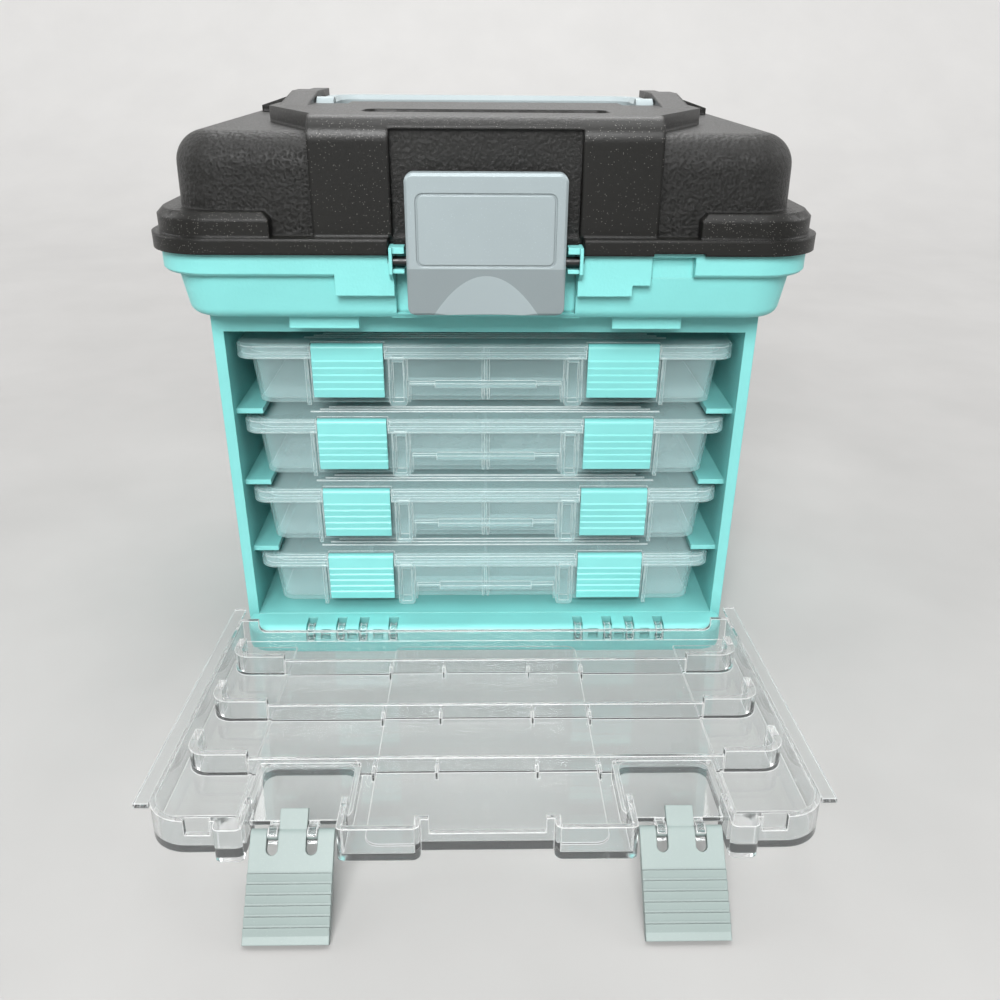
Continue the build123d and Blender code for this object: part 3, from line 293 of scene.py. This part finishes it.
def lid_plastic():
    """Black plastic: leather grain on the body, fine grain with pale flecks on straps, bumps and rim, and
    painted shade in its grooves and under its steps.
    """
    material, tree, shader = blank("black_lid")
    place = node(tree, "ShaderNodeTexCoord").outputs["Object"]
    deep = within(tree, place, "Y", *BODY_DEPTH)
    body = product(tree, within(tree, place, "x", *BODY_SIDES), deep, within(tree, place, "Z", *BODY_HEIGHT))
    middle = product(tree, within(tree, place, "x", *BETWEEN_STRAPS), deep)
    leathery = larger(tree, body, product(tree, middle, FAINT_GRAIN))
    tint = ramp(tree, noise(tree, place, 25.0), 0.3, 0.7, shade(BLACK, 0.6), shade(BLACK, 1.0))
    spotted = mixed(tree, flecks(tree, place, 1400.0, 0.15), tint, FLECK)
    plain = mixed(tree, leathery, spotted, tint)
    # Painted shade in the lid's grooves and under its steps.
    tree.links.new(painted_crevice_shade(tree, plain, 2.5, 0.3), shader.inputs["Base Color"])
    cells = node(tree, "ShaderNodeTexVoronoi", Scale=700.0, feature="SMOOTH_F1")
    warp = node(tree, "ShaderNodeVectorMath", operation="ADD")
    ripple = node(tree, "ShaderNodeVectorMath", operation="SCALE")
    tree.links.new(node(tree, "ShaderNodeTexNoise", Scale=500.0).outputs["Color"], ripple.inputs[0])
    ripple.inputs["Scale"].default_value = 0.0012
    tree.links.new(place, warp.inputs[0])
    tree.links.new(ripple.outputs[0], warp.inputs[1])
    tree.links.new(warp.outputs[0], cells.inputs["Vector"])
    fine = noise(tree, place, 1300.0, 4.0)
    tree.links.new(spread_of(tree, fine, 0.32, 0.44), shader.inputs["Roughness"])
    shader.inputs["Specular IOR Level"].default_value = 0.36
    small = node(tree, "ShaderNodeBump", Strength=1.0, Distance=0.05 * MM)
    tree.links.new(fine, small.inputs["Height"])
    tree.links.new(rounded_normal(tree, 1.8), small.inputs["Normal"])
    large = node(tree, "ShaderNodeBump", Strength=1.0, Distance=0.45 * MM)
    tree.links.new(product(tree, leathery, cells.outputs["Distance"]), large.inputs["Height"])
    tree.links.new(small.outputs[0], large.inputs["Normal"])
    tree.links.new(large.outputs[0], shader.inputs["Normal"])
    return material


def seen(tree, stopped):
    """1 for what is seen, and the stopped share for light that passes on its way to other surfaces."""
    light = node(tree, "ShaderNodeLightPath")
    passing = larger(tree, light.outputs["Is Shadow Ray"], light.outputs["Is Diffuse Ray"])
    return spread_of(tree, passing, 1.0, stopped, 0.0, 1.0)


def clear_plastic():
    """Clear moulded plastic: it bends what is seen through it, and its edges are painted white as a highlight
    and let less through.
    """
    material, tree, shader = blank("clear_plastic")
    rounded = rounded_normal(tree, 0.7)
    edges = edge_mask(tree, rounded)
    # Painted highlight: the edges are white.
    tree.links.new(mixed(tree, edges, CLEAR_FACE, CLEAR_EDGE_HIGHLIGHT), shader.inputs["Base Color"])
    tree.links.new(spread_of(tree, edges, 0.97, 0.30, 0.0, 1.0), shader.inputs["Transmission Weight"])
    tree.links.new(spread_of(tree, edges, 0.03, 0.22, 0.0, 1.0), shader.inputs["Roughness"])
    tree.links.new(rounded, shader.inputs["Normal"])
    shader.inputs["IOR"].default_value = 1.35
    tree.links.new(seen(tree, CLEAR_STOPS), shader.inputs["Alpha"])
    return material


def frosted_plastic():
    """Milky see-through plastic, denser along its edges, where it is seen edge on, and many layers deep; its
    edges are painted paler as a highlight.
    """
    material, tree, shader = blank("frosted_plastic")
    place = node(tree, "ShaderNodeTexCoord").outputs["Object"]
    rounded = rounded_normal(tree, 0.6)
    edges = edge_mask(tree, rounded)
    tint = ramp(tree, noise(tree, place, 60.0), 0.3, 0.7, shade(MILK, 0.97), shade(MILK, 1.03))
    # Painted highlight: the edges are a paler milk.
    tree.links.new(mixed(tree, edges, tint, MILK_EDGE_HIGHLIGHT), shader.inputs["Base Color"])
    facing = node(tree, "ShaderNodeLayerWeight", Blend=0.35).outputs["Facing"]
    face = spread_of(tree, facing, *FACE_DENSITY, 0.0, 0.95)
    dense = larger(tree, face, product(tree, edges, EDGE_DENSITY))
    covering = product(tree, dense, seen(tree, FROSTED_STOPS))
    deep = node(tree, "ShaderNodeMath", operation="GREATER_THAN")
    tree.links.new(node(tree, "ShaderNodeLightPath").outputs["Transparent Depth"], deep.inputs[0])
    deep.inputs[1].default_value = LAST_LAYER
    tree.links.new(larger(tree, covering, deep.outputs[0]), shader.inputs["Alpha"])
    shader.inputs["Roughness"].default_value = 0.26
    bump = node(tree, "ShaderNodeBump", Strength=1.0, Distance=0.01 * MM)
    tree.links.new(noise(tree, place, 700.0), bump.inputs["Height"])
    tree.links.new(rounded, bump.inputs["Normal"])
    tree.links.new(bump.outputs[0], shader.inputs["Normal"])
    return material


def blackened_steel():
    """Dark pins with a dull shine."""
    material, tree, shader = blank("blackened_steel")
    shader.inputs["Base Color"].default_value = (*STEEL, 1)
    shader.inputs["Metallic"].default_value = 1.0
    place = node(tree, "ShaderNodeTexCoord").outputs["Object"]
    worn = noise(tree, place, 400.0)
    tree.links.new(spread_of(tree, worn, 0.3, 0.5), shader.inputs["Roughness"])
    return material


def dress(material, *names):
    """Give a material to CAD nodes, by name."""
    for name in names:
        mesh = nodes[name].data
        mesh.materials.clear()
        mesh.materials.append(material)
        for face in mesh.polygons:
            face.material_index = 0


def dress_the_frame():
    """Every CAD node in its own plastic."""
    # Painted shade over a wide reach darkens the case's inside, under the tub and beside the boxes.
    teal_case = moulded("teal_case", TEAL, 0.38, 1100.0, 0.012, reach=16.0, floor_share=0.65)
    teal_tub = moulded("teal_tub", TEAL, 0.42, 800.0, 0.13)
    dress(teal_case, "rack_case")
    dress(teal_tub, "top_tub")
    dress(lid_plastic(), "top_lid")
    dress(latch_plastic(), "main_latch")
    dress(flecked("grey_handle", SILVER, 0.42, shade(SILVER, 1.5), 0.12), "carry_handle")
    dress(flecked("grey_latch", GREY, 0.52, shade(GREY, 1.4), 0.10), "door_latch_left", "door_latch_right")
    dress(clear_plastic(), "front_door")
    dress(blackened_steel(), "lid_hinge_pins", "main_latch_pin")
    frosted = frosted_plastic()
    teal_latch = moulded("teal_latch", TEAL, 0.35, 900.0, 0.01, edge=0.25)
    for box in BOXES:
        dress(frosted, f"box_{box}_tray", f"box_{box}_lid", f"box_{box}_dividers")
        dress(teal_latch, f"box_{box}_latch_left", f"box_{box}_latch_right")


def direct(tree):
    """1 for rays that show a surface straight on, in a reflection or through clear plastic, else 0."""
    light = node(tree, "ShaderNodeLightPath").outputs
    shown = larger(tree, light["Is Camera Ray"], light["Is Glossy Ray"])
    return larger(tree, shown, light["Is Transmission Ray"])


def floor():
    """A pale floor whose back bends up into a backdrop."""
    reach, back, bend, steps = 6.0, 1.0, 0.9, 16
    profile = [(-reach, 0.0), (back, 0.0)]
    for step in range(1, steps + 1):
        angle = step / steps * pi / 2
        profile.append((back + bend * sin(angle), bend * (1 - cos(angle))))
    profile.append((back + bend, reach))
    verts = [(x, y, z) for y, z in profile for x in (-reach, reach)]
    faces = [(2 * i, 2 * i + 1, 2 * i + 3, 2 * i + 2) for i in range(len(profile) - 1)]
    mesh = bpy.data.meshes.new("floor")
    mesh.from_pydata(verts, [], faces)
    mesh.shade_smooth()
    made = bpy.data.objects.new("floor", mesh)
    bpy.context.scene.collection.objects.link(made)
    material, tree, shader = blank("pale_floor")
    place = node(tree, "ShaderNodeTexCoord").outputs["Object"]
    tint = ramp(tree, noise(tree, place, 9.0), 0.3, 0.7, shade(FLOOR, 0.95), shade(FLOOR, 1.04))
    away = node(tree, "ShaderNodeVectorMath", operation="LENGTH")
    tree.links.new(place, away.inputs[0])
    shown = direct(tree)
    tree.links.new(mixed(tree, shown, DIM_FLOOR, tint), shader.inputs["Base Color"])
    far = spread_of(tree, away.outputs["Value"], 0.0, 1.0, 0.35, 2.2)
    shader.inputs["Emission Color"].default_value = (*BACKDROP, 1)
    tree.links.new(product(tree, shown, far), shader.inputs["Emission Strength"])
    shader.inputs["Roughness"].default_value = 0.85
    mesh.materials.append(material)


def lamp(name, place, size, power):
    """A square area lamp at place, facing the middle of the object, that no view shows."""
    light = bpy.data.lights.new(name, "AREA")
    light.size = size
    light.energy = power
    made = bpy.data.objects.new(name, light)
    made.location = place
    made.rotation_euler = (Vector(MIDDLE) - Vector(place)).to_track_quat("-Z", "Y").to_euler()
    made.visible_camera = False
    bpy.context.scene.collection.objects.link(made)


def studio():
    """Soft light from a wide lamp in front and weaker ones overhead, behind and beside, in a dim dome."""
    world = bpy.data.worlds.new("studio")
    world.use_nodes = True
    tree = world.node_tree
    dome = tree.nodes["Background"]
    dome.inputs[0].default_value = (1.0, 0.99, 0.98, 1)
    tree.links.new(spread_of(tree, direct(tree), DOME_LIGHT, DOME_SEEN, 0.0, 1.0), dome.inputs[1])
    bpy.context.scene.world = world
    for values in LAMPS:
        lamp(*values)
    bpy.context.scene.view_settings.view_transform = "Standard"


def camera():
    """The photograph's viewpoint."""
    pitch, yaw, roll = (radians(a) for a in (CAMERA_PITCH, CAMERA_YAW, CAMERA_ROLL))
    ahead = Vector((sin(yaw) * cos(pitch), cos(yaw) * cos(pitch), -sin(pitch)))
    right = Vector((cos(yaw), -sin(yaw), 0))
    up = right.cross(ahead)
    tilted_right = right * cos(roll) + up * sin(roll)
    tilted_up = up * cos(roll) - right * sin(roll)
    data = bpy.data.cameras.new("camera")
    data.lens = CAMERA_LENS
    data.sensor_width = SENSOR
    data.clip_start = 0.01
    made = bpy.data.objects.new("camera", data)
    turn = Matrix((tilted_right, tilted_up, -ahead)).transposed().to_4x4()
    made.matrix_world = Matrix.Translation(Vector(CAMERA_PLACE)) @ turn
    bpy.context.scene.collection.objects.link(made)
    bpy.context.scene.camera = made


dress_the_frame()
floor()
studio()
camera()
